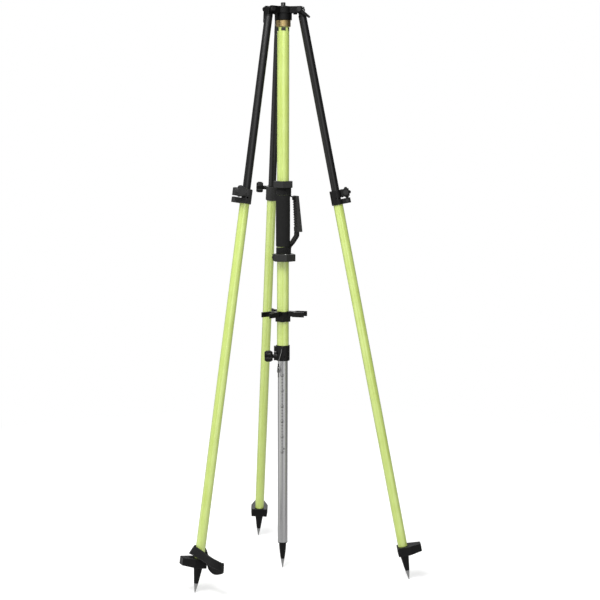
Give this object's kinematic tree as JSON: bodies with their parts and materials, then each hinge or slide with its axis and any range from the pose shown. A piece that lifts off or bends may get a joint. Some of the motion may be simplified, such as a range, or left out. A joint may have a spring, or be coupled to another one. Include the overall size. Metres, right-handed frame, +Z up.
{
  "type": "gps antenna tripod",
  "caption": "Survey antenna tripod: pointed telescoping centre pole with carry handle, hinged head with threaded stud, and folding telescoping spiked legs with clamp knobs.",
  "frame": {"origin": "tip of the centre pole's steel point on the ground mark", "axes": "+Z up along the pole; +Y towards the back leg; +X to the right of someone facing the vial"},
  "size_m": [0.773, 0.6935, 1.811],
  "materials": {
    "fluo_tube": "satin",
    "silver_tube": "satin",
    "black_tube": "satin",
    "black_cast": "satin",
    "black_plastic": "satin",
    "steel": "satin",
    "brass": "satin",
    "vial_metal": "satin",
    "vial_glass": "gloss",
    "foam": "matte",
    "grip_rubber": "matte",
    "webbing": "matte"
  },
  "bodies": {
    "head": {"head_plate": "black_cast", "head_hub": "black_cast", "brass_bushing": "brass", "arm_bolts": "steel", "hinge_bolts": "steel"},
    "pole": {"pole_tube": "fluo_tube", "top_spindle": "steel", "antenna_stud": "steel", "pole_clamp": "black_plastic", "leg_clip": "black_plastic", "vial_bracket": "black_plastic", "vial_cup": "vial_metal", "vial_glass": "vial_glass", "foam_sleeve": "foam", "handle_bands": "webbing", "carry_grip": "grip_rubber", "handle_webbing": "webbing", "hex_collar": "black_plastic", "ring_screws": "steel", "lanyard": "steel", "lanyard_ring": "steel", "lock_pin": "steel"},
    "inner": {"inner_pole": "silver_tube", "inner_guide": "black_plastic", "point_adapter": "black_cast", "point_tip": "steel"},
    "pole_knob": {"pole_knob": "black_plastic"},
    "back_leg_upper": {"back_tang": "black_cast", "back_upper_tube": "black_tube", "back_guide": "black_plastic"},
    "back_leg_lower": {"back_lower_tube": "fluo_tube", "back_clamp": "black_plastic", "back_clamp_bolts": "steel", "back_foot": "black_cast", "back_spike_tip": "steel"},
    "back_knob": {"back_clamp_knob": "black_plastic"},
    "back_lever": {"back_hinge_lever": "black_cast"},
    "left_leg_upper": {"left_tang": "black_cast", "left_upper_tube": "black_tube", "left_guide": "black_plastic"},
    "left_leg_lower": {"left_lower_tube": "fluo_tube", "left_clamp": "black_plastic", "left_clamp_bolts": "steel", "left_foot": "black_cast", "left_spike_tip": "steel", "leg_strap": "webbing"},
    "left_knob": {"left_clamp_knob": "black_plastic"},
    "left_lever": {"left_hinge_lever": "black_cast"},
    "right_leg_upper": {"right_tang": "black_cast", "right_upper_tube": "black_tube", "right_guide": "black_plastic"},
    "right_leg_lower": {"right_lower_tube": "fluo_tube", "right_clamp": "black_plastic", "right_clamp_bolts": "steel", "right_foot": "black_cast", "right_spike_tip": "steel"},
    "right_knob": {"right_clamp_knob": "black_plastic"},
    "right_lever": {"right_hinge_lever": "black_cast"}
  },
  "joints": [
    {"name": "pole_turn", "type": "hinge", "parent": "head", "child": "pole", "pos_m": [0, 0, 1.788], "axis": [0, 0, 1], "range_deg": [-120, 240]},
    {"name": "pole_slide", "type": "slide", "parent": "pole", "child": "inner", "axis": [0, 0, -1], "range_m": [-0.5, 0.2]},
    {"name": "pole_knob_turn", "type": "hinge", "parent": "pole", "child": "pole_knob", "pos_m": [-0.04597, 0.00977, 0.6979], "axis": [-0.9781, 0.2079, 0], "range_deg": [0, 360]},
    {"name": "back_leg_fold", "type": "hinge", "parent": "head", "child": "back_leg_upper", "pos_m": [0, 0.058, 1.788], "axis": [1, 0, 0], "range_deg": [-10.12, 14.88]},
    {"name": "back_leg_slide", "type": "slide", "parent": "back_leg_upper", "child": "back_leg_lower", "axis": [0, 0.1758, -0.9844], "range_m": [-0.5, 0.12]},
    {"name": "back_knob_turn", "type": "hinge", "parent": "back_leg_lower", "child": "back_knob", "pos_m": [-0.03301, 0.19662, 1.23013], "axis": [-0.9744, 0.2214, 0.0395], "range_deg": [0, 360]},
    {"name": "back_lever_turn", "type": "hinge", "parent": "head", "child": "back_lever", "pos_m": [0, 0.058, 1.788], "axis": [1, 0, 0], "range_deg": [-4, 86]},
    {"name": "left_leg_fold", "type": "hinge", "parent": "head", "child": "left_leg_upper", "pos_m": [-0.05023, -0.029, 1.788], "axis": [-0.5, 0.866, 0], "range_deg": [-9.9, 15.1]},
    {"name": "left_leg_slide", "type": "slide", "parent": "left_leg_upper", "child": "left_leg_lower", "axis": [-0.149, -0.086, -0.9851], "range_m": [-0.5, 0.12]},
    {"name": "left_knob_turn", "type": "hinge", "parent": "left_leg_lower", "child": "left_knob", "pos_m": [-0.15973, -0.12205, 1.23169], "axis": [0.1269, -0.9896, 0.0672], "range_deg": [0, 360]},
    {"name": "left_lever_turn", "type": "hinge", "parent": "head", "child": "left_lever", "pos_m": [-0.05023, -0.029, 1.788], "axis": [-0.5, 0.866, 0], "range_deg": [0, 90]},
    {"name": "right_leg_fold", "type": "hinge", "parent": "head", "child": "right_leg_upper", "pos_m": [0.05023, -0.029, 1.788], "axis": [-0.5, -0.866, 0], "range_deg": [-11.45, 13.55]},
    {"name": "right_leg_slide", "type": "slide", "parent": "right_leg_upper", "child": "right_leg_lower", "axis": [0.172, -0.0993, -0.9801], "range_m": [-0.5, 0.12]},
    {"name": "right_knob_turn", "type": "hinge", "parent": "right_leg_lower", "child": "right_knob", "pos_m": [0.18836, -0.05357, 1.22131], "axis": [0.23, 0.9715, -0.0581], "range_deg": [0, 360]},
    {"name": "right_lever_turn", "type": "hinge", "parent": "head", "child": "right_lever", "pos_m": [0.05023, -0.029, 1.788], "axis": [-0.5, -0.866, 0], "range_deg": [-46, 44]}
  ]
}
